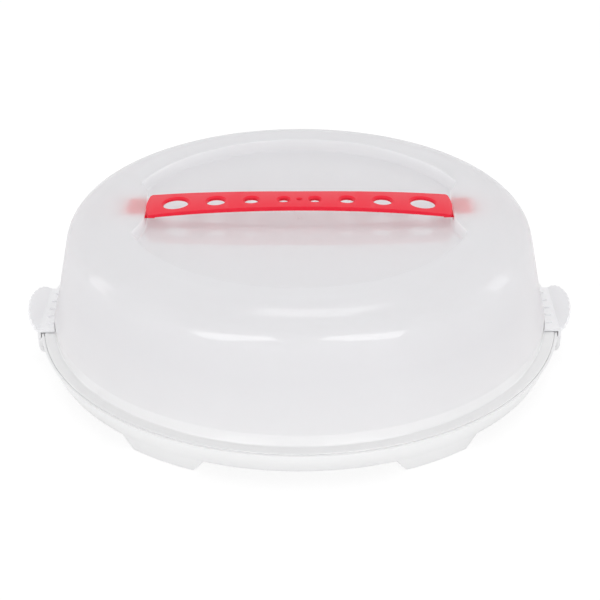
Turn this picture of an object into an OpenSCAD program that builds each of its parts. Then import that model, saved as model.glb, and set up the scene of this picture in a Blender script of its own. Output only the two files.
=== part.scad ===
// Round cake carrier: tray on four feet, domed lid, two side clips and a strap handle.
// Z is up, the feet stand at zero, the clips are on the X axis, the front is towards -Y.

/* [Tray] */
// Outer radius of the tray at its lip
lip_r = 177.5; // [150:0.5:200]
// How far the slanted skirt draws in towards its lower edge
skirt_draft = 6.7; // [2:0.1:12]
// Height of the skirt from its lower edge to the lip
skirt_h = 15.2; // [13:0.1:22]
// Wall thickness of the tray
tray_t = 2; // [1.4:0.1:3]
// Width of the lip that stands round the lid's flange
lip_w = 1.7; // [1.2:0.1:2.6]
// Depth of the seat inside the lip
seat_depth = 1.2; // [0.8:0.1:2.5]
// Width of the seat that carries the lid's flange
seat_w = 12.8; // [10:0.1:18]
// Height of the plate's upper face above the skirt's lower edge
plate_rise = 4; // [3:0.1:7]
// Number of gussets in the hollow rim, the two at the clips left out
gusset_count = 18; // [6:2:36]
// Thickness of the gussets and of the rings under the plate
rib_t = 1.4; // [1:0.1:2.4]
// Radius of the inner ring under the plate
inner_ring_r = 58; // [30:1:80]
// Radius of the outer ring under the plate
outer_ring_r = 112; // [90:1:140]
// Height of the rings under the plate
ring_h = 3; // [1.5:0.1:5]

/* [Feet] */
// Height of the feet below the skirt
foot_h = 10; // [6:0.5:16]
// Angle of each foot from the front or the back
foot_angle = 30.5; // [20:0.5:45]
// Width of a foot where it leaves the skirt
foot_top_w = 60.8; // [40:0.2:80]
// Width of a foot on the ground
foot_ground_w = 45.2; // [25:0.2:60]
// Radial depth of a foot
foot_depth = 10.5; // [8:0.1:14]
// How far a foot's outer face draws in towards the ground
foot_draft = 2.2; // [0.5:0.1:4]
// How far a foot's outer face stands inside the skirt's
foot_set = 0.3; // [0.2:0.05:1]
// Radius of a foot's lower corners
foot_corner_r = 3; // [1:0.1:6]
// Wall round the pockets in the underside of a foot
foot_wall = 2.4; // [1.6:0.1:4]
// Width of the web between the two pockets of a foot
foot_web_w = 6; // [3:0.1:12]

/* [Lid] */
// Wall thickness of the lid
lid_t = 1.8; // [1.2:0.1:2.6]
// Thickness of the lid's flange
flange_t = 1.6; // [1:0.1:2.4]
// Width of the lid's flange outside the collar
flange_w = 7.4; // [5:0.1:10]
// Height of the upright collar above the flange
collar_h = 8; // [4:0.1:14]
// Height of the sloping wall above the collar
wall_h = 53.2; // [30:0.1:80]
// How far the sloping wall draws in over its height
wall_draft = 11.7; // [4:0.1:18]
// Height of the rounded shoulder
shoulder_h = 19.1; // [12:0.1:35]
// Radial width of the rounded shoulder
shoulder_w = 29.7; // [18:0.1:35]
// Power of the shoulder's curve, 2 for an ellipse and more for a squarer one
shoulder_power = 2.5; // [2:0.1:3.5]
// Rise of the top from the shoulder to the recess
crown_rise = 0.2; // [0.1:0.1:4]
// Radius of the round recess in the top
recess_r = 115.5; // [100:0.5:130]
// Depth of the recess
recess_depth = 9; // [5:0.1:14]
// Distance of the two tongues' inner edges from the middle
tongue_x = 102.8; // [95:0.1:108]
// Width of the straight part of a tongue's edge
tongue_w = 44; // [36:0.5:60]
// Width of a tongue where it meets the recess's round edge
tongue_root_w = 78; // [64:0.5:100]

/* [Strap handle] */
// Width of the grip at its middle
grip_mid_w = 27.3; // [20:0.1:34]
// Width of the grip at its ends
grip_end_w = 31; // [24:0.1:38]
// Height of the grip's middle above the lid's top
grip_top = 5.1; // [3:0.1:12]
// How much lower the grip's ends are than its middle
grip_arch = 4.5; // [2:0.1:6]
// Thickness of the grip at its middle
grip_mid_t = 3; // [2:0.1:5]
// Thickness of the grip at its ends
grip_end_t = 2; // [1.5:0.1:4]
// Bulge of the grip's rounded ends
grip_end_bulge = 2.1; // [0.5:0.1:4]
// Distance of the holes from the middle, nearest first
hole_x = [10.4, 32, 55.7, 82.7]; // [5:0.1:92]
// Diameters of the holes, nearest first
hole_d = [7.5, 9.7, 12.4, 16.9]; // [4:0.1:20]
// Diameter of the small hole in the middle
centre_hole_d = 2.5; // [1:0.1:4]
// Width of the tails that slide in the lid's slots
tail_w = 25; // [16:0.1:30]
// Thickness of the tails
tail_t = 2; // [1.5:0.1:3]
// Depth of the tails' upper face below the lid's top
tail_drop = 2.8; // [2.2:0.1:4]
// Length of tail beyond the slot's wall
tail_reach = 11; // [8:0.1:20]
// Height of the stop at the tail's end
stop_h = 4; // [3:0.1:6]
// Clearance round a tail in its slot
slot_gap = 0.6; // [0.3:0.05:1]

/* [Clips] */
// Width of a clip's hook
hook_w = 60; // [40:1:80]
// Thickness of the hook plate
hook_t = 1.8; // [1.2:0.1:3]
// Thickness of the web outside the lip
web_t = 2; // [1.4:0.1:3]
// Distance of the pivot inside the lip
pivot_inset = 4; // [3.4:0.1:6]
// Depth of the pivot below the lip
pivot_drop = 9.7; // [8.5:0.1:11]
// Radius of the barrel round the pivot
barrel_r = 2.8; // [2.2:0.1:3.2]
// Radius of the pivot pins
pin_r = 1.5; // [1:0.05:2]
// Thickness of the ears that hold the pins
ear_t = 3.6; // [2.5:0.1:6]
// Material of the ears outside the pins' bores
ear_wall = 1.64; // [1:0.02:2.5]
// Number of grip ribs on the hook
rib_count = 5; // [1:2:9]
// Distance between the grip ribs
rib_pitch = 10.4; // [4:0.1:14]
// Width of a grip rib
rib_w = 1.8; // [1:0.1:3]
// Height of a grip rib
rib_h = 1.3; // [0.5:0.1:2.5]
// Length of a grip rib
rib_l = 4.6; // [3:0.1:8]
// Reach of the finger tab from its root, along its slope
tab_reach = 12.4; // [8:0.1:20]
// Slope of the finger tab
tab_slope = 38.7; // [10:0.1:60]
// Thickness of the finger tab
tab_t = 1.8; // [1.2:0.1:3]
// How much wider than the hook the finger tab is
tab_extra_w = 1; // [0:0.1:4]
// Power of the tab's outline, 2 for an ellipse
tab_power = 1.9; // [1.5:0.05:3]
// Number of scallops along the tab's edge
scallop_count = 12; // [6:1:18]
// Depth of the scallops
scallop_depth = 0.8; // [0.2:0.05:1.5]

/* [Fits] */
// Gap under the lid's flange
seat_gap = 0.2; // [0.1:0.05:0.4]
// Gap between the lid's flange and the lip
flange_gap = 0.4; // [0.3:0.05:0.8]
// Gap between a clip and the lip or the collar
clip_gap = 0.6; // [0.4:0.05:1]
// Least gap of the hook over the lip as it turns
turn_gap = 0.2; // [0.1:0.05:0.5]
// Running gap of the pins in their bores
pin_gap = 0.06; // [0.02:0.01:0.1]
// Gap at each end of the barrel
side_gap = 0.5; // [0.3:0.05:1]
// Gap between the strap's ends and the tongues
strap_gap = 0.4; // [0.3:0.05:1]

/* [Hidden] */
$fn = 120;

// Heights above the ground
skirt_z = foot_h;
plate_z = foot_h + plate_rise;
lip_z = foot_h + skirt_h;
seat_z = lip_z - seat_depth;
flange_z = seat_z + seat_gap;
flange_top_z = flange_z + flange_t;
collar_z = flange_top_z + collar_h;
shoulder_z = collar_z + wall_h;
crown_z = shoulder_z + shoulder_h;
top_z = crown_z + crown_rise;
recess_z = top_z - recess_depth;

// Radii of the tray and the lid
lip_in_r = lip_r - lip_w;
riser_in_r = lip_in_r - seat_w;
riser_out_r = riser_in_r + tray_t;
flange_r = lip_in_r - flange_gap;
collar_r = flange_r - flange_w;
wall_r = collar_r - wall_draft;
crown_r = wall_r - shoulder_w;

// Clips and their pivots
pivot_x = lip_r - pivot_inset;
pivot_z = lip_z - pivot_drop;
hook_z = max(pivot_z + norm([pivot_inset, pivot_drop]) + turn_gap, flange_top_z + turn_gap);
hook_top_z = hook_z + hook_t;
hook_in_r = collar_r + clip_gap;
web_in_r = lip_r + clip_gap;
web_out_r = web_in_r + web_t;
ear_reach = pin_r + pin_gap + ear_wall;
ear_out_y = hook_w / 2 + 1;
ear_in_y = ear_out_y - ear_t;
barrel_l = 2 * (ear_in_y - side_gap);
pocket_x = pivot_x - barrel_r - clip_gap - turn_gap;
ear_top_z = pivot_z + barrel_r + 1.2;
ear_low_z = pivot_z - barrel_r - 1.2;
band_z = ear_top_z + 1.5;

// Strap
grip_z = top_z + grip_top;
tail_top_z = top_z - tail_drop;
tail_z = tail_top_z - tail_t;
grip_l = 2 * (tongue_x - strap_gap);
grip_edge_x = grip_l / 2 - grip_end_bulge;
tail_end_x = tongue_x + lid_t + tail_reach;

// Radius of the skirt's outer face at a height
function skirt_r(z) = lip_r - skirt_draft * (lip_z - z) / skirt_h;

// Radius of an arc from its half chord and its rise
function arc_r(half, rise) = (half * half + rise * rise) / (2 * rise);

// Points of the shoulder's curve, tangent to the wall and the top, drawn in by a wall
function shoulder(inset) =
    let (
        low = [wall_r - inset, shoulder_z],
        high = [crown_r, crown_z - inset],
        corner = [low.x - (high.y - low.y) * wall_draft / wall_h, high.y]
    )
        [
            for (a = [0:6:90])
                low + pow(sin(a), 2 / shoulder_power) * (corner - low)
                + (1 - pow(cos(a), 2 / shoulder_power)) * (high - corner)
        ];

// Puts copies of a clip's parts on both sides
module both_sides() {
    children();
    mirror([1, 0, 0]) children();
}

// Tray: plate, riser, seat, lip and slanted skirt in one section
module tray_shell() {
    hollow_z = seat_z - tray_t;
    rotate_extrude($fn = 180)
        polygon([
            [0, plate_z - tray_t],
            [riser_out_r, plate_z - tray_t],
            [riser_out_r, hollow_z],
            [skirt_r(hollow_z) - tray_t, hollow_z],
            [skirt_r(skirt_z) - tray_t, skirt_z],
            [skirt_r(skirt_z), skirt_z],
            [lip_r, lip_z],
            [lip_in_r, lip_z],
            [lip_in_r, seat_z],
            [riser_in_r, seat_z],
            [riser_in_r, plate_z],
            [0, plate_z]
        ]);
}

// Stiffening rings under the plate
module plate_rings() {
    for (r = [inner_ring_r, outer_ring_r])
        translate([0, 0, plate_z - tray_t - ring_h])
            difference() {
                cylinder(r = r + rib_t / 2, h = ring_h + tray_t / 2);
                translate([0, 0, -1])
                    cylinder(r = r - rib_t / 2, h = ring_h + tray_t);
            }
}

// Gussets inside the hollow rim, none behind the clips
module rim_gussets() {
    low_z = plate_z - tray_t / 2;
    long = skirt_r(low_z) - tray_t / 2 - riser_in_r - tray_t / 2;
    for (i = [1:gusset_count - 1])
        if (i != gusset_count / 2)
            rotate([0, 0, i * 360 / gusset_count])
                translate([riser_in_r + tray_t / 2, -rib_t / 2, low_z])
                    cube([long, rib_t, seat_z - tray_t / 2 - low_z]);
}

// Front view of a foot: a trapezoid with rounded lower corners
module foot_face() {
    slope = atan2(foot_h, (foot_top_w - foot_ground_w) / 2);
    tangent = foot_corner_r * tan(slope / 2);
    corner_x = foot_ground_w / 2 - tangent;
    arc = [for (a = [-90:15:-90 + slope]) foot_corner_r * [cos(a), sin(a)] + [corner_x, foot_corner_r]];
    root_w = foot_top_w + plate_rise * (foot_top_w - foot_ground_w) / foot_h;
    side = concat(arc, [[root_w / 2, plate_z]]);
    polygon(concat(side, [for (i = [len(side) - 1:-1:0]) [-side[i].x, side[i].y]]));
}

// One foot on the X axis, with two pockets in its underside
module foot() {
    top = plate_z - tray_t / 4;
    ground_r = skirt_r(skirt_z) - foot_set - foot_draft;
    root_r = ground_r + foot_draft * top / foot_h;
    in_r = ground_r - foot_depth;
    pocket_w = (foot_ground_w - 2 * foot_wall - foot_web_w) / 2 - foot_corner_r / 2;
    difference() {
        intersection() {
            rotate_extrude($fn = 180)
                polygon([[in_r, 0], [ground_r, 0], [root_r, top], [in_r, top]]);
            rotate([90, 0, 90])
                linear_extrude(height = 2 * lip_r)
                    foot_face();
        }
        for (side = [-1, 1])
            intersection() {
                translate([0, 0, -1])
                    difference() {
                        cylinder(r = ground_r - foot_wall, h = top - tray_t + 1);
                        translate([0, 0, -1])
                            cylinder(r = in_r + foot_wall, h = top + 3);
                    }
                translate([in_r - 5, side * (foot_web_w + pocket_w) / 2 - pocket_w / 2, -2])
                    cube([foot_depth + 10, pocket_w, top + 4]);
            }
    }
}

// Ear that holds a clip's pin, as a side view in X and Z
module ear_side() {
    root_x = riser_in_r - 2;
    corner_z = ear_low_z + ear_reach;
    difference() {
        union() {
            polygon([
                [root_x, ear_low_z],
                [pivot_x, ear_low_z],
                [pivot_x, corner_z],
                [pivot_x + ear_reach, corner_z],
                [pivot_x + ear_reach, ear_top_z],
                [pivot_x + ear_reach / 3, seat_z - tray_t / 2],
                [root_x, seat_z - tray_t / 2]
            ]);
            translate([pivot_x, corner_z])
                circle(r = ear_reach, $fn = 48);
        }
        translate([pivot_x, pivot_z])
            circle(r = pin_r + pin_gap, $fn = 48);
    }
}

// Two ears and the flat wall behind a clip
module clip_seat() {
    for (y = [-ear_in_y, ear_out_y])
        translate([0, y, 0])
            rotate([90, 0, 0])
                linear_extrude(height = ear_t)
                    ear_side();
    wall_w = 2 * ear_in_y + ear_t;
    translate([pocket_x - tray_t, -wall_w / 2, ear_low_z])
        cube([tray_t, wall_w, seat_z - tray_t / 2 - ear_low_z]);
}

// Opening in the skirt for a clip's barrel and web
module clip_pocket() {
    translate([riser_out_r + 0.5, -ear_in_y, skirt_z - 1])
        cube([lip_r - riser_out_r, 2 * ear_in_y, band_z - skirt_z + 1]);
}

module base_tray() {
    color("whitesmoke") {
        difference() {
            union() {
                tray_shell();
                rim_gussets();
            }
            both_sides() clip_pocket();
        }
        plate_rings();
        both_sides() clip_seat();
        for (turn = [foot_angle, 180 - foot_angle, 180 + foot_angle, 360 - foot_angle])
            rotate([0, 0, turn - 90])
                foot();
    }
}

// Outline of the recess with its two tongues, grown by a wall
module recess_outline(grow) {
    root_x = sqrt(pow(recess_r, 2) - pow(tongue_root_w / 2, 2));
    difference() {
        circle(r = recess_r + grow, $fn = 180);
        both_sides()
            polygon([
                [tongue_x + grow, -tongue_w / 2 + grow / 2],
                [tongue_x + grow, tongue_w / 2 - grow / 2],
                [root_x + grow, tongue_root_w / 2 - grow / 2],
                [recess_r + 10, tongue_root_w / 2 + 12],
                [recess_r + 10, -tongue_root_w / 2 - 12],
                [root_x + grow, -tongue_root_w / 2 + grow / 2]
            ]);
    }
}

// Dome without its recess, drawn in by a wall, down to a given height
module dome_form(inset, low_z) {
    side = concat(
        [[0, low_z], [collar_r - inset, low_z], [collar_r - inset, collar_z - inset / 4]],
        shoulder(inset),
        [[recess_r, top_z - inset], [0, top_z - inset]]
    );
    rotate_extrude($fn = 180)
        polygon(side);
}

module lid_flange() {
    translate([0, 0, flange_z])
        difference() {
            cylinder(r = flange_r, h = flange_t, $fn = 180);
            translate([0, 0, -1])
                cylinder(r = collar_r - lid_t, h = flange_t + 2, $fn = 180);
        }
}

// Slots in the tongues' end walls for the strap's tails
module tail_slots() {
    long = 2 * (tongue_x + lid_t + 1);
    wide = tail_w + 2 * slot_gap;
    difference() {
        translate([-long / 2, -wide / 2, tail_z - slot_gap])
            cube([long, wide, tail_t + 2 * slot_gap]);
        translate([-tongue_x + 1, -wide, 0])
            cube([2 * tongue_x - 2, 2 * wide, 2 * top_z]);
    }
}

module lid_dome() {
    color("white", 0.5)
        difference() {
            union() {
                difference() {
                    dome_form(0, flange_z);
                    translate([0, 0, recess_z])
                        linear_extrude(height = recess_depth + 1)
                            recess_outline(0);
                    difference() {
                        dome_form(lid_t, flange_z - 1);
                        translate([0, 0, recess_z - lid_t])
                            linear_extrude(height = recess_depth + lid_t + 1)
                                recess_outline(lid_t);
                    }
                }
                lid_flange();
            }
            tail_slots();
        }
}

// Plan of the grip: waisted sides and slightly rounded ends
module grip_plan() {
    steps = 12;
    end_r = arc_r(grip_end_w / 2, grip_end_bulge);
    half = [
        for (i = [-steps:steps])
            let (x = i / steps * grip_edge_x)
                [x, grip_mid_w / 2 + (grip_end_w - grip_mid_w) / 2 * pow(x / grip_edge_x, 2)]
    ];
    polygon(concat(half, [for (i = [len(half) - 1:-1:0]) [half[i].x, -half[i].y]]));
    intersection() {
        translate([grip_edge_x - 1, -grip_end_w / 2])
            square([grip_end_bulge + 1, grip_end_w]);
        translate([grip_l / 2 - end_r, 0])
            circle(r = end_r, $fn = 240);
    }
    intersection() {
        translate([-grip_l / 2, -grip_end_w / 2])
            square([grip_end_bulge + 1, grip_end_w]);
        translate([end_r - grip_l / 2, 0])
            circle(r = end_r, $fn = 240);
    }
}

// Side view of the arched grip in X and Z, thinner towards its ends
module grip_arch_side() {
    steps = 14;
    half = grip_l / 2;
    share = [for (i = [-steps:steps]) i / steps];
    top = [for (s = share) [s * half, grip_z - grip_arch * s * s]];
    low = [
        for (i = [2 * steps:-1:0])
            top[i] - [0, grip_mid_t + (grip_end_t - grip_mid_t) * pow(share[i], 2)]
    ];
    polygon(concat(top, low));
}

// Tail under each end of the grip, with its neck and its stop
module tail() {
    neck_l = 5;
    neck_x = tongue_x - strap_gap - 1 - neck_l;
    translate([neck_x, -tail_w / 2, tail_z])
        cube([neck_l, tail_w, grip_z - grip_arch - grip_end_t / 2 - tail_z]);
    translate([neck_x, -tail_w / 2, tail_z])
        cube([tail_end_x - neck_x, tail_w, tail_t]);
    translate([tail_end_x - tail_t, -tail_w / 2, tail_top_z - stop_h])
        cube([tail_t, tail_w, stop_h]);
}

module handle_strap() {
    color("crimson") {
        difference() {
            intersection() {
                translate([0, 0, tail_z])
                    linear_extrude(height = grip_z - tail_z + 1)
                        grip_plan();
                translate([0, grip_end_w, 0])
                    rotate([90, 0, 0])
                        linear_extrude(height = 2 * grip_end_w)
                            grip_arch_side();
            }
            translate([0, 0, tail_z - 1]) {
                cylinder(d = centre_hole_d, h = grip_z - tail_z + 2, $fn = 24);
                for (i = [0:len(hole_x) - 1])
                    both_sides()
                        translate([hole_x[i], 0, 0])
                            cylinder(d = hole_d[i], h = grip_z - tail_z + 2, $fn = 48);
            }
        }
        both_sides() tail();
    }
}

// Wedge that keeps only a clip's own stretch of a ring
module clip_stretch(wide) {
    translate([0, -wide / 2, 0])
        cube([2 * lip_r, wide, 2 * top_z]);
}

// Ring between two radii and two heights
module ring(in_r, out_r, low_z, high_z) {
    translate([0, 0, low_z])
        difference() {
            cylinder(r = out_r, h = high_z - low_z, $fn = 180);
            translate([0, 0, -1])
                cylinder(r = in_r, h = high_z - low_z + 2, $fn = 180);
        }
}

// Outline of the finger tab from its root, with a scalloped edge
module tab_outline() {
    half_w = (hook_w + tab_extra_w) / 2;
    steps = 8 * scallop_count;
    edge = [
        for (i = [0:steps])
            let (
                a = 180 * i / steps,
                cut = scallop_depth * (0.5 - 0.5 * cos(360 * scallop_count * i / steps)),
                side = cos(a) < 0 ? -1 : 1
            )
                [(tab_reach - cut) * pow(sin(a), 2 / tab_power),
                 side * (half_w - cut) * pow(abs(cos(a)), 2 / tab_power)]
    ];
    polygon(edge);
}

module finger_tab() {
    root_x = lip_r - pivot_inset / 5;
    translate([root_x, 0, hook_top_z])
        rotate([0, -tab_slope, 0])
            translate([0, 0, -tab_t])
                linear_extrude(height = tab_t)
                    tab_outline();
}

module grip_ribs() {
    for (i = [0:rib_count - 1]) {
        y = (i - (rib_count - 1) / 2) * rib_pitch;
        turn = asin(y / hook_in_r);
        rotate([0, 0, turn])
            translate([hook_in_r + 0.3, -rib_w / 2, hook_top_z - 0.2])
                cube([rib_l, rib_w, rib_h + 0.2]);
    }
}

// Right-hand clip, closed over the lip
module clip() {
    intersection() {
        union() {
            ring(hook_in_r, web_out_r, hook_z, hook_top_z);
            ring(web_in_r, web_out_r, band_z + 0.7, hook_z + hook_t / 2);
        }
        clip_stretch(hook_w);
    }
    intersection() {
        ring(web_in_r, web_out_r, pivot_z - barrel_r, band_z + 1.2);
        clip_stretch(barrel_l);
    }
    translate([pivot_x, -barrel_l / 2, pivot_z - barrel_r])
        cube([web_in_r + web_t / 2 - pivot_x - 1.8, barrel_l, tab_t]);
    translate([pivot_x, 0, pivot_z])
        rotate([90, 0, 0]) {
            cylinder(r = barrel_r, h = barrel_l, center = true, $fn = 48);
            cylinder(r = pin_r, h = 2 * ear_out_y - 1.2, center = true, $fn = 48);
        }
    finger_tab();
    grip_ribs();
}

module clip_right() {
    color("white") clip();
}

module clip_left() {
    color("white") mirror([1, 0, 0]) clip();
}

base_tray();
lid_dome();
handle_strap();
clip_left();
clip_right();
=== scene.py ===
import math
import bpy
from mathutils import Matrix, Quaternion, Vector


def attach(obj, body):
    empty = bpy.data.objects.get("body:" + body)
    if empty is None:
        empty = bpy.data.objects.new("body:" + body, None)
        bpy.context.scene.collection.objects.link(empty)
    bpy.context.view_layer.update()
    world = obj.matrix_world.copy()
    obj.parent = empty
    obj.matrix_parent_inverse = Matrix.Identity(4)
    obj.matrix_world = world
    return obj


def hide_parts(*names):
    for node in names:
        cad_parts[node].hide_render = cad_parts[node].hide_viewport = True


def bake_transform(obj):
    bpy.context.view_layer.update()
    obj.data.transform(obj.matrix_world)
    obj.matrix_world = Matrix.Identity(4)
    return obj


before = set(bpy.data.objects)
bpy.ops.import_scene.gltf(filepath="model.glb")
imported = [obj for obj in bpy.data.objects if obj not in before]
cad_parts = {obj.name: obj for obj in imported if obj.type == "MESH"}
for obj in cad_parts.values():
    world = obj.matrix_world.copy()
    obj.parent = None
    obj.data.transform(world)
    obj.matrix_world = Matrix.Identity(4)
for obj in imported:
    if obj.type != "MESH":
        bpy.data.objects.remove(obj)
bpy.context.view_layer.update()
bpy.context.scene.view_settings.view_transform = "Standard"
print("frame loaded")

mm = 0.001  # the pieces' sizes below are in millimetres, as on a drawing
mergeGap = 0.002  # points closer than this, in millimetres, are one point
smoothAngle = 40  # edges blunter than this, in degrees, are shaded smooth


# small helpers used by every piece

def deselectAll():
    if bpy.context.object and bpy.context.object.mode != "OBJECT":
        bpy.ops.object.mode_set(mode="OBJECT")
    bpy.ops.object.select_all(action="DESELECT")


def activate(piece):
    deselectAll()
    piece.select_set(True)
    bpy.context.view_layer.objects.active = piece


def applyModifiers(piece):
    activate(piece)
    for modifier in list(piece.modifiers):
        bpy.ops.object.modifier_apply(modifier=modifier.name)


def placeInMesh(piece):
    activate(piece)
    bpy.ops.object.transform_apply(location=True, rotation=True, scale=True)


def shadeSmooth(piece):
    activate(piece)
    bpy.ops.object.shade_smooth_by_angle(angle=math.radians(smoothAngle))


def turnOutwards(piece):
    activate(piece)
    bpy.ops.object.mode_set(mode="EDIT")
    bpy.ops.mesh.select_all(action="SELECT")
    bpy.ops.mesh.normals_make_consistent(inside=False)
    bpy.ops.object.mode_set(mode="OBJECT")


def addBlock(low, high):
    deselectAll()
    middle = [(a + b) / 2 * mm for a, b in zip(low, high)]
    bpy.ops.mesh.primitive_cube_add(size=1, location=middle)
    block = bpy.context.object
    block.scale = [(b - a) * mm for a, b in zip(low, high)]
    placeInMesh(block)
    return block


def booleanWith(piece, other, operation):
    change = piece.modifiers.new("join", "BOOLEAN")
    change.operation = operation
    change.solver = "EXACT"
    change.object = other
    applyModifiers(piece)
    bpy.data.objects.remove(other)


def softMin(a, b, blend):
    low = min(a, b)
    return low - blend * math.log(math.exp((low - a) / blend) + math.exp((low - b) / blend))


def smoothStep(low, high, value):
    share = min(max((value - low) / (high - low), 0.0), 1.0)
    return share * share * (3 - 2 * share)


def roundedPath(corners, steps=5):
    # corners are (radius, height, fillet); each fillet becomes a short arc
    path = []
    for i, (x, z, fillet) in enumerate(corners):
        if fillet == 0 or i in (0, len(corners) - 1):
            path.append((x, z))
            continue
        here = Vector((x, z))
        back = (Vector(corners[i - 1][:2]) - here).normalized()
        ahead = (Vector(corners[i + 1][:2]) - here).normalized()
        half = back.angle(ahead) / 2
        reach = fillet / math.tan(half)
        centre = here + (back + ahead).normalized() * (fillet / math.sin(half))
        first = here + back * reach - centre
        last = here + ahead * reach - centre
        turn = first.angle_signed(last)
        for step in range(steps + 1):
            angle = -turn * step / steps
            spoke = Vector((first.x * math.cos(angle) - first.y * math.sin(angle),
                            first.x * math.sin(angle) + first.y * math.cos(angle)))
            path.append(tuple(centre + spoke))
    return path


def drawChain(name, path):
    # a plane merged to one point, drawn out point by point in the XZ plane
    deselectAll()
    bpy.ops.mesh.primitive_plane_add(size=mm)
    piece = bpy.context.object
    piece.name = name
    bpy.ops.object.mode_set(mode="EDIT")
    bpy.ops.mesh.merge(type="CENTER")
    x, z = path[0]
    bpy.ops.transform.translate(value=(x * mm, 0, z * mm))
    for nextX, nextZ in path[1:]:
        bpy.ops.mesh.extrude_region_move(
            TRANSFORM_OT_translate={"value": ((nextX - x) * mm, 0, (nextZ - z) * mm)})
        x, z = nextX, nextZ
    bpy.ops.object.mode_set(mode="OBJECT")
    return piece


def spinClosed(piece, steps):
    activate(piece)
    bpy.ops.object.mode_set(mode="EDIT")
    bpy.ops.mesh.select_all(action="SELECT")
    bpy.ops.mesh.spin(steps=steps, angle=math.tau, center=(0, 0, 0), axis=(0, 0, 1))
    bpy.ops.mesh.select_all(action="SELECT")
    bpy.ops.mesh.remove_doubles(threshold=mergeGap * mm)
    bpy.ops.mesh.normals_make_consistent(inside=False)
    bpy.ops.object.mode_set(mode="OBJECT")


def newMaterial(name):
    material = bpy.data.materials.new(name)
    material.use_nodes = True
    return material, material.node_tree.nodes, material.node_tree.links


def dress(piece, material):
    piece.data.materials.clear()
    piece.data.materials.append(material)


# camera, fitted to the photograph's circles

camera = {
    "lens": 90.52, "sensor": 36, "distance": 1.0454, "elevation": 28.56,
    "aimHeight": 0.03445, "shift": 0.0009, "roll": -0.15,
}


def addCamera():
    rise = math.radians(camera["elevation"])
    deselectAll()
    bpy.ops.object.camera_add(
        location=(0, -camera["distance"] * math.cos(rise),
                  camera["aimHeight"] + camera["distance"] * math.sin(rise)))
    eye = bpy.context.object
    level = Quaternion((1, 0, 0), math.pi / 2 - rise)
    roll = Quaternion((0, 0, 1), math.radians(camera["roll"]))
    eye.rotation_euler = (level @ roll).to_euler()
    eye.name = "photoCamera"
    eye.data.lens = camera["lens"]
    eye.data.sensor_width = camera["sensor"]
    eye.data.shift_x = camera["shift"]
    bpy.context.scene.camera = eye


# light boxes, placed where the photograph's highlights mirror them; sizes here are in metres

studio = {
    # azimuth and rise are measured from the front, at the point that the box is aimed at
    "overheadBox": {"aim": (0, -0.14, 0.10), "azimuth": 166, "rise": 75, "distance": 1.45,
                    "wide": 0.64, "tall": 0.64, "watts": 2.15},
    "overheadFill": {"aim": (0, 0, 0.05), "azimuth": 180, "rise": 80, "distance": 1.5,
                     "wide": 1.6, "tall": 1.6, "watts": 2.4, "soft": True},
    "frontBox": {"aim": (0.037, -0.15, 0.09), "azimuth": 30, "rise": 9, "distance": 1.1,
                 "wide": 0.84, "tall": 0.3, "roll": -30, "watts": 2.4, "pair": True},
    "sideFill": {"aim": (0.1, 0, 0.05), "azimuth": 100, "rise": 25, "distance": 1.3,
                 "wide": 0.9, "tall": 0.7, "watts": 1.0, "pair": True, "soft": True},
    "sideGlint": {"aim": (0.12, -0.09, 0.09), "azimuth": 107, "rise": 3, "distance": 1.2,
                  "wide": 0.28, "tall": 0.9, "watts": 1.05, "pair": True},
}


def addBox(name, box, side=1):
    deselectAll()
    turn, rise = math.radians(box["azimuth"]) * side, math.radians(box["rise"])
    aim = Vector((box["aim"][0] * side, box["aim"][1], box["aim"][2]))
    away = Vector((math.sin(turn) * math.cos(rise), -math.cos(turn) * math.cos(rise),
                   math.sin(rise)))
    bpy.ops.object.light_add(type="AREA", location=aim + away * box["distance"])
    lamp = bpy.context.object
    lamp.name = name
    lamp.data.shape = "RECTANGLE"
    lamp.data.size = box["wide"]
    lamp.data.size_y = box["tall"]
    lamp.data.energy = box["watts"]
    facing = (-away).to_track_quat("-Z", "Y")
    roll = Quaternion((0, 0, 1), math.radians(box.get("roll", 0)) * side)
    lamp.rotation_euler = (facing @ roll).to_euler()
    lamp.visible_camera = False
    lamp.visible_glossy = not box.get("soft", False)  # a soft box lights but is not mirrored


def addStudio():
    for name, box in studio.items():
        if box.get("pair"):
            addBox(name + "Right", box, 1)
            addBox(name + "Left", box, -1)
        else:
            addBox(name, box)


# world and floor: white where they are seen, dimmer as a source of light

room = {"level": 0.67}

floor = {
    "size": 12, "below": 0.4, "color": 0.84, "roughness": 0.9, "shine": 0.1,
    "lift": 1.1, "share": 0.8,
}


def seenDirectly(nodes, links):
    # 1 where the camera, a reflection or a look through the plastic meets the surroundings
    path = nodes.new("ShaderNodeLightPath")
    first = nodes.new("ShaderNodeMath")
    first.operation = "MAXIMUM"
    links.new(path.outputs["Is Camera Ray"], first.inputs[0])
    links.new(path.outputs["Is Glossy Ray"], first.inputs[1])
    both = nodes.new("ShaderNodeMath")
    both.operation = "MAXIMUM"
    links.new(first.outputs[0], both.inputs[0])
    links.new(path.outputs["Is Transmission Ray"], both.inputs[1])
    return both.outputs[0]


def addWorld():
    world = bpy.data.worlds.new("paleRoom")
    bpy.context.scene.world = world
    world.use_nodes = True
    nodes, links = world.node_tree.nodes, world.node_tree.links
    nodes.clear()
    mix = nodes.new("ShaderNodeMixShader")
    links.new(seenDirectly(nodes, links), mix.inputs[0])
    for index, strength in ((1, room["level"]), (2, 1.0)):
        sky = nodes.new("ShaderNodeBackground")
        sky.inputs["Color"].default_value = (1, 1, 1, 1)
        sky.inputs["Strength"].default_value = strength
        links.new(sky.outputs[0], mix.inputs[index])
    out = nodes.new("ShaderNodeOutputWorld")
    links.new(mix.outputs[0], out.inputs["Surface"])


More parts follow.
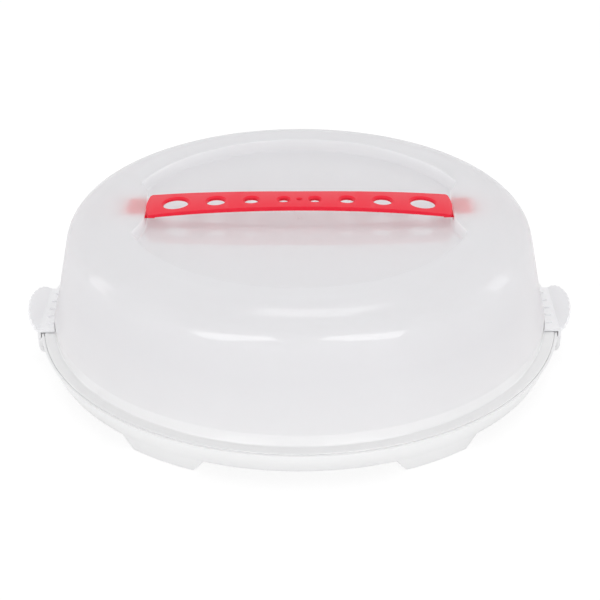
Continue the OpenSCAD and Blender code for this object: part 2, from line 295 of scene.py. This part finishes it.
def addFloor():
    deselectAll()
    bpy.ops.mesh.primitive_plane_add(size=floor["size"], location=(0, 0, -floor["below"] * mm))
    ground = bpy.context.object
    ground.name = "paleFloor"
    placeInMesh(ground)
    material, nodes, links = newMaterial("paleFloor")
    shade = nodes["Principled BSDF"]
    shade.inputs["Base Color"].default_value = (floor["color"], floor["color"], floor["color"], 1)
    shade.inputs["Roughness"].default_value = floor["roughness"]
    shade.inputs["Specular IOR Level"].default_value = floor["shine"]
    glow = nodes.new("ShaderNodeEmission")
    glow.inputs["Strength"].default_value = floor["lift"]
    share = nodes.new("ShaderNodeMath")
    share.operation = "MULTIPLY"
    share.inputs[1].default_value = floor["share"]
    mix = nodes.new("ShaderNodeMixShader")
    links.new(seenDirectly(nodes, links), share.inputs[0])
    links.new(share.outputs[0], mix.inputs[0])
    links.new(shade.outputs[0], mix.inputs[1])
    links.new(glow.outputs[0], mix.inputs[2])
    links.new(mix.outputs[0], nodes["Material Output"].inputs["Surface"])
    dress(ground, material)


# plastics: one recipe, with each piece's own colour, roughness and gloss

plastic = {
    "ior": 1.49, "coatRoughness": 0.04, "cloudScale": 14, "cloudDetail": 3, "cloudShade": 0.97,
    "grainDetail": 4, "roughSpread": 0.04, "relief": 0.05, "reliefDepth": 0.2,
}


def mouldedPlastic(name, color, roughness, grain=900, coat=0.0, shine=0.5):
    material, nodes, links = newMaterial(name)
    shade = nodes["Principled BSDF"]
    shade.inputs["IOR"].default_value = plastic["ior"]
    shade.inputs["Coat Weight"].default_value = coat
    shade.inputs["Coat Roughness"].default_value = plastic["coatRoughness"]
    shade.inputs["Specular IOR Level"].default_value = shine
    place = nodes.new("ShaderNodeTexCoord")

    def addNoise(scale, detail):
        noise = nodes.new("ShaderNodeTexNoise")
        noise.inputs["Scale"].default_value = scale
        noise.inputs["Detail"].default_value = detail
        links.new(place.outputs["Object"], noise.inputs["Vector"])
        return noise.outputs["Fac"]

    cloud = addNoise(plastic["cloudScale"], plastic["cloudDetail"])  # faint cloudiness
    tint = nodes.new("ShaderNodeMix")
    tint.data_type = "RGBA"
    tint.inputs["A"].default_value = (*[c * plastic["cloudShade"] for c in color], 1)
    tint.inputs["B"].default_value = (*color, 1)
    links.new(cloud, tint.inputs["Factor"])
    links.new(tint.outputs["Result"], shade.inputs["Base Color"])
    fine = addNoise(grain, plastic["grainDetail"])  # fine frosting
    spread = nodes.new("ShaderNodeMapRange")
    spread.inputs["To Min"].default_value = roughness - plastic["roughSpread"]
    spread.inputs["To Max"].default_value = roughness + plastic["roughSpread"]
    links.new(fine, spread.inputs["Value"])
    links.new(spread.outputs["Result"], shade.inputs["Roughness"])
    relief = nodes.new("ShaderNodeBump")
    relief.inputs["Strength"].default_value = plastic["relief"]
    relief.inputs["Distance"].default_value = plastic["reliefDepth"] * mm
    links.new(fine, relief.inputs["Height"])
    links.new(relief.outputs["Normal"], shade.inputs["Normal"])
    return material


frost = {
    # shares of the light that pass, and the heights between which they change and between which the
    # painted light, a paler colour low on the lid, fades out
    "passes": 0.57, "footPasses": 0.16, "footLow": 28.0, "footHigh": 36.0,
    "paintedLightColor": (0.95, 0.95, 0.955), "paintedLightLow": 30.0, "paintedLightHigh": 66.0, "coatIor": 1.8,
}


def frostSheet(material):
    # the shell's two faces work as one frosted sheet: part of the light is thrown back, part
    # goes through; towards its foot, which lies on the white tray, the lid lets less light through
    # and is painted paler: painted light for the brightness that the tray gives it
    nodes, links = material.node_tree.nodes, material.node_tree.links
    shade, out = nodes["Principled BSDF"], nodes["Material Output"]
    shade.inputs["Coat IOR"].default_value = frost["coatIor"]
    place = nodes.new("ShaderNodeTexCoord")
    split = nodes.new("ShaderNodeSeparateXYZ")
    links.new(place.outputs["Object"], split.inputs[0])

    def overHeight(low, high, atLow, atHigh):
        change = nodes.new("ShaderNodeMapRange")
        change.inputs["From Min"].default_value = low * mm
        change.inputs["From Max"].default_value = high * mm
        change.inputs["To Min"].default_value = atLow
        change.inputs["To Max"].default_value = atHigh
        links.new(split.outputs["Z"], change.inputs["Value"])
        return change.outputs["Result"]

    def mixShaders(share, first, second):
        mix = nodes.new("ShaderNodeMixShader")
        for index, source in enumerate((share, first, second)):
            links.new(source, mix.inputs[index])
        return mix.outputs[0]

    # painted light: lower on the lid the colour is mixed towards a paler one, by height
    color = nodes.new("ShaderNodeMix")
    color.data_type = "RGBA"
    color.inputs["A"].default_value = (*frost["paintedLightColor"], 1)
    links.new(overHeight(frost["paintedLightLow"], frost["paintedLightHigh"], 0, 1), color.inputs["Factor"])
    links.new(shade.inputs["Base Color"].links[0].from_socket, color.inputs["B"])
    links.new(color.outputs["Result"], shade.inputs["Base Color"])
    through = nodes.new("ShaderNodeBsdfTranslucent")
    links.new(color.outputs["Result"], through.inputs["Color"])
    passes = overHeight(frost["footLow"], frost["footHigh"], frost["footPasses"], frost["passes"])
    sheet = mixShaders(passes, shade.outputs[0], through.outputs[0])
    clear = nodes.new("ShaderNodeBsdfTransparent")
    facing = nodes.new("ShaderNodeNewGeometry")
    both = mixShaders(facing.outputs["Backfacing"], sheet, clear.outputs[0])
    links.new(both, out.inputs["Surface"])


# lid: one spun shell whose recess edge is drawn in at the two tongues

lid = {
    "steps": 480, "wall": 1.8,
    "flangeRadius": 175.4, "flangeLow": 24.2, "flangeThick": 1.6,
    "collarRadius": 168.0, "collarTop": 33.8, "kneeRadius": 164.0, "kneeRise": 16.0,
    "wallTop": 87.0, "wallDraft": 11.7,
    "shoulderHeight": 19.1, "shoulderWidth": 29.7, "shoulderPower": 2.5,
    "shoulderSkew": 0.08, "shoulderSteps": 26, "crownRise": 0.2, "crownRings": (119, 122.5),
    "recessRadius": 115.5, "recessFloor": 97.3, "recessDraft": 0.5,
    "gateMark": ((0, 0.35, 0), (1.2, 0.35, 0.15), (1.7, 0, 0.1), (8, 0, 0)),
    "floorRings": (30, 60, 75, 88, 98, 106),
    "edgeFillet": 0.9, "floorFillet": 1.6, "footFillet": 0.5, "collarFillet": 0.8,
    "seatFillet": 1.0, "innerFootFillet": 0.4, "innerCollarDrop": 0.3,
}

tongues = {
    "reach": 102.8, "half": 22.0, "rootHalf": 39.0, "cornerBlend": 0.9, "edgeLift": 0.25,
    "slotWide": 26.2, "slotLow": 100.9, "slotHigh": 104.1, "slotIn": 2.0, "slotOut": 4.0,
    # the rings and the lowest height between which the shell's points are drawn in
    "fadeIn": 58.0, "innerRing": 60.0, "outerRing": 126.0, "lowest": 90.0,
    "fullInside": 2.5, "fullOutside": 0.6, "leastCosine": 0.05,
}


def lidShoulder(inset):
    slope = lid["wallDraft"] / (lid["wallTop"] - lid["collarTop"])
    low = Vector((lid["collarRadius"] - lid["wallDraft"] - inset, lid["wallTop"]))
    high = Vector((lid["collarRadius"] - lid["wallDraft"] - lid["shoulderWidth"],
                   lid["wallTop"] + lid["shoulderHeight"] - inset))
    corner = Vector((low.x - slope * (high.y - low.y), high.y))
    power = 2 / lid["shoulderPower"]
    curve = []
    for step in range(lid["shoulderSteps"] + 1):
        share = step / lid["shoulderSteps"]
        angle = math.pi / 2 * (share - lid["shoulderSkew"] * math.sin(math.tau * share))
        point = low + math.sin(angle) ** power * (corner - low)
        point += (1 - max(math.cos(angle), 0) ** power) * (high - corner)
        curve.append((point.x, point.y, 0))
    return curve


def lidPath():
    top = lid["wallTop"] + lid["shoulderHeight"] + lid["crownRise"]
    wall, bottom, ring = lid["wall"], lid["recessFloor"], lid["recessRadius"]
    collar, flange, draft = lid["collarRadius"], lid["flangeRadius"], lid["recessDraft"]
    flangeTop = lid["flangeLow"] + lid["flangeThick"]
    outer = [(x, bottom + rise, fillet) for x, rise, fillet in lid["gateMark"]]
    outer += [(x, bottom, 0) for x in lid["floorRings"]]
    outer += [(ring - draft, bottom, lid["floorFillet"]), (ring, top, lid["edgeFillet"])]
    outer += [(x, top, 0) for x in lid["crownRings"]]
    outer += reversed(lidShoulder(0))
    outer += [(lid["kneeRadius"], lid["collarTop"] + lid["kneeRise"], 0),
              (collar, lid["collarTop"], lid["collarFillet"]),
              (collar, flangeTop, lid["seatFillet"]),
              (flange, flangeTop, lid["footFillet"]),
              (flange, lid["flangeLow"], lid["footFillet"])]
    inner = [(collar - wall, lid["flangeLow"], lid["innerFootFillet"]),
             (collar - wall, lid["collarTop"] - lid["innerCollarDrop"], lid["collarFillet"])]
    inner += lidShoulder(wall)
    inner += [(lid["crownRings"][-1], top - wall, 0),
              (ring + wall, top - wall, lid["edgeFillet"]),
              (ring + wall - draft, bottom - wall, lid["edgeFillet"])]
    inner += [(x, bottom - wall, 0) for x in (*reversed(lid["floorRings"]), 0)]
    return roundedPath(outer + inner)


def recessEdge(angle):
    # distance of the recess's edge from the middle, in a direction
    c, s, least = abs(math.cos(angle)), abs(math.sin(angle)), tongues["leastCosine"]
    reach, half, blend = tongues["reach"], tongues["half"], tongues["cornerBlend"]
    rootX = math.sqrt(lid["recessRadius"] ** 2 - tongues["rootHalf"] ** 2)
    flare = (rootX - reach) / (tongues["rootHalf"] - half)
    straight = reach / max(c, least)
    slanted = (reach - flare * half) / max(c - flare * s, least)
    tongue = -softMin(-straight, -slanted, blend)
    return softMin(lid["recessRadius"] + tongues["edgeLift"], tongue, blend)


def shapeTongues(piece):
    ring = lid["recessRadius"]
    inside, outside = ring - tongues["fullInside"], ring + lid["wall"]
    for vertex in piece.data.vertices:
        x, y = vertex.co.x / mm, vertex.co.y / mm
        reach = math.hypot(x, y)
        if reach < tongues["innerRing"] or reach > tongues["outerRing"]:
            continue
        if vertex.co.z / mm < tongues["lowest"]:
            continue
        if reach > outside + tongues["fullOutside"]:
            share = 1 - smoothStep(outside, tongues["outerRing"], reach)
        elif reach < inside:
            share = smoothStep(tongues["fadeIn"], inside, reach)
        else:
            share = 1
        shift = (recessEdge(math.atan2(y, x)) - ring) * share
        vertex.co.x *= (reach + shift) / reach
        vertex.co.y *= (reach + shift) / reach


def makeLid(material):
    piece = drawChain("frostedLid", lidPath())
    spinClosed(piece, lid["steps"])
    shapeTongues(piece)
    reach, half = tongues["reach"], tongues["slotWide"] / 2
    for side in (-1, 1):
        first, last = sorted((side * (reach - tongues["slotIn"]), side * (reach + tongues["slotOut"])))
        slot = addBlock((first, -half, tongues["slotLow"]), (last, half, tongues["slotHigh"]))
        booleanWith(piece, slot, "DIFFERENCE")
    shadeSmooth(piece)
    dress(piece, material)
    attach(piece, "lid")
    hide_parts("lid_dome")
    print("lid made")


# strap: two halves that meet in the middle

strap = {
    "half": 102.4, "edge": 100.3, "midWidth": 24.6, "endWidth": 32.0, "flare": 1.7,
    "corner": 1.6, "sideSteps": 24, "cornerSteps": 5, "endSteps": 8, "overlap": 5.0,
    "flat": 1.0, "top": 111.4, "arch": 4.5, "archPower": 2.4, "slice": 4.0,
    "midThick": 2.9, "endThick": 2.0,
    "sink": 1.1, "sinkDepth": 0.4, "drillLength": 10.0, "holeFaces": 72,
    "neckX": 96.4, "neckEnd": 101.4, "neckWide": 17.0,
    "tailWide": 25.0, "tailTop": 103.5, "tailThick": 2.0, "tailStart": 103.0, "tailEnd": 115.6,
    "stop": 4.0, "lap": 1.0, "nudge": 0.01,
    "round": 0.7, "roundSteps": 3, "roundAngle": 58,
    # along the strap: distance from the middle and size of each hole
    "holes": ((0, 2.5), (10.4, 7.5), (32.0, 9.7), (55.7, 12.4), (82.7, 16.9)),
}


def cutHole(piece, x, size):
    # the bar is still flat here: a straight hole, then its countersink from above
    faces, radius = strap["holeFaces"], size / 2
    deselectAll()
    bpy.ops.mesh.primitive_cylinder_add(vertices=faces, radius=radius * mm,
                                        depth=strap["drillLength"] * mm, location=(x * mm, 0, 0))
    booleanWith(piece, bpy.context.object, "DIFFERENCE")
    deselectAll()
    bpy.ops.mesh.primitive_cone_add(vertices=faces, radius1=radius * mm,
                                    radius2=(radius + 2 * strap["sink"]) * mm,
                                    depth=2 * strap["sinkDepth"] * mm,
                                    location=(x * mm, 0, strap["flat"] / 2 * mm))
    booleanWith(piece, bpy.context.object, "DIFFERENCE")


def gripOutline():
    # one long side and the bulged end, from the middle of the strap outwards
    half, edge, corner, width = strap["half"], strap["edge"], strap["corner"], strap["endWidth"]
    outline = [(-strap["overlap"], strap["midWidth"] / 2)]
    for step in range(strap["sideSteps"] + 1):
        x = edge * step / strap["sideSteps"]
        flare = (width - strap["midWidth"]) / 2 * (x / edge) ** strap["flare"]
        outline.append((x, strap["midWidth"] / 2 + flare))
    outline[-1] = (edge - corner, outline[-1][1])
    for step in range(1, strap["cornerSteps"]):
        turn = math.pi / 2 * step / strap["cornerSteps"]
        outline.append((edge - corner + corner * math.sin(turn),
                        width / 2 - corner + corner * math.cos(turn)))
    for step in range(strap["endSteps"]):
        y = (width / 2 - corner) * (1 - step / strap["endSteps"])
        outline.append((half - (half - edge) * (2 * y / width) ** 2, y))
    outline.append((half, 0))
    return outline + [(x, -y) for x, y in reversed(outline[:-1])]


def makeGripHalf():
    # a flat bar with rounded end and holes, bent to its arch afterwards
    piece = drawChain("strapHalf", gripOutline())
    activate(piece)
    bpy.ops.object.mode_set(mode="EDIT")
    bpy.ops.mesh.select_all(action="SELECT")
    bpy.ops.mesh.edge_face_add()
    bpy.ops.mesh.extrude_region_move(TRANSFORM_OT_translate={"value": (0, strap["flat"] * mm, 0)})
    bpy.ops.object.mode_set(mode="OBJECT")
    for vertex in piece.data.vertices:  # laid down: its height becomes width, its depth thickness
        x, y, z = vertex.co
        vertex.co = (x, z, strap["flat"] / 2 * mm - y)
    turnOutwards(piece)
    for x, size in strap["holes"]:
        cutHole(piece, x, size)
    return piece


def sliceAlong(piece, step):
    activate(piece)
    bpy.ops.object.mode_set(mode="EDIT")
    for i in range(int(strap["half"] / step) + 1):
        bpy.ops.mesh.select_all(action="SELECT")
        bpy.ops.mesh.bisect(plane_co=(i * step * mm, 0, 0), plane_no=(1, 0, 0))
    bpy.ops.object.mode_set(mode="OBJECT")


def bendGrip(piece):
    for vertex in piece.data.vertices:
        share = (abs(vertex.co.x / mm) / strap["half"]) ** strap["archPower"]
        thick = strap["midThick"] + (strap["endThick"] - strap["midThick"]) * share
        depth = 0.5 - vertex.co.z / mm / strap["flat"]  # 0 on the upper face, 1 on the lower
        vertex.co.z = (strap["top"] - strap["arch"] * share - thick * depth) * mm


def joinTail(half):
    # neck, slide, tail and stop; the nudges keep their faces from lying in one plane
    wide, neck, nudge, lap = strap["tailWide"] / 2, strap["neckWide"] / 2, strap["nudge"], strap["lap"]
    high, thick = strap["tailTop"], strap["tailThick"]
    low, start, end = high - thick, strap["tailStart"], strap["tailEnd"]
    gripLow = strap["top"] - strap["arch"] - strap["endThick"] / 2
    blocks = (
        ((strap["neckX"], -neck, low), (strap["neckEnd"], neck, gripLow)),
        ((strap["neckX"] + lap / 2, -neck + nudge, low + nudge), (start + lap, neck - nudge, high)),
        ((start, -wide + nudge, low + 2 * nudge), (end, wide - nudge, high - nudge)),
        ((end - thick, -wide, high - strap["stop"]), (end + 2 * nudge, wide, high - 2 * nudge)),
    )
    for first, last in blocks:
        booleanWith(half, addBlock(first, last), "UNION")


def roundEdges(piece):
    soften = piece.modifiers.new("edges", "BEVEL")
    soften.width = strap["round"] * mm
    soften.segments = strap["roundSteps"]
    soften.limit_method = "ANGLE"
    soften.angle_limit = math.radians(strap["roundAngle"])
    applyModifiers(piece)


def makeStrap(material):
    half = makeGripHalf()
    sliceAlong(half, strap["slice"])
    bendGrip(half)
    joinTail(half)
    roundEdges(half)
    bpy.ops.object.mode_set(mode="EDIT")
    bpy.ops.mesh.select_all(action="SELECT")
    bpy.ops.mesh.bisect(plane_co=(0, 0, 0), plane_no=(1, 0, 0), use_fill=True, clear_inner=True)
    bpy.ops.object.mode_set(mode="OBJECT")
    shadeSmooth(half)
    dress(half, material)
    activate(half)
    bpy.ops.object.duplicate(linked=False)
    other = bpy.context.object
    other.scale = (-1, 1, 1)
    placeInMesh(other)
    turnOutwards(other)
    half.name, other.name = "strapRight", "strapLeft"
    for piece, side in ((half, 1), (other, -1)):
        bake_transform(piece)
    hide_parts("handle_strap")
    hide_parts("handle_strap")
    print("strap made")


# kept nodes: softened edges and their own plastic

edges = {"segments": 2, "angle": 40}


def softenNode(name, width, material):
    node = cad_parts[name]
    weld = node.modifiers.new("weld", "WELD")
    weld.merge_threshold = mergeGap * mm
    soften = node.modifiers.new("edges", "BEVEL")
    soften.width = width * mm
    soften.segments = edges["segments"]
    soften.limit_method = "ANGLE"
    soften.angle_limit = math.radians(edges["angle"])
    if not node.material_slots:
        node.data.materials.append(material)
    for slot in node.material_slots:
        slot.material = material


addCamera()
addStudio()
addWorld()
addFloor()
print("camera, lights and floor set")

frostedLid = mouldedPlastic("frostedLid", (0.9, 0.9, 0.913), 0.36, coat=1.0)
frostSheet(frostedLid)
trayPlastic = mouldedPlastic("trayPlastic", (0.915, 0.915, 0.92), 0.4, coat=0.1)
clipPlastic = mouldedPlastic("clipPlastic", (0.94, 0.94, 0.955), 0.36, coat=0.3)
strapPlastic = mouldedPlastic("strapPlastic", (0.9, 0.006, 0.034), 0.4, grain=700, shine=0.4)

makeLid(frostedLid)
makeStrap(strapPlastic)
softenNode("base_tray", 0.3, trayPlastic)
softenNode("clip_left", 0.12, clipPlastic)
softenNode("clip_right", 0.12, clipPlastic)
print("tray and clips softened")
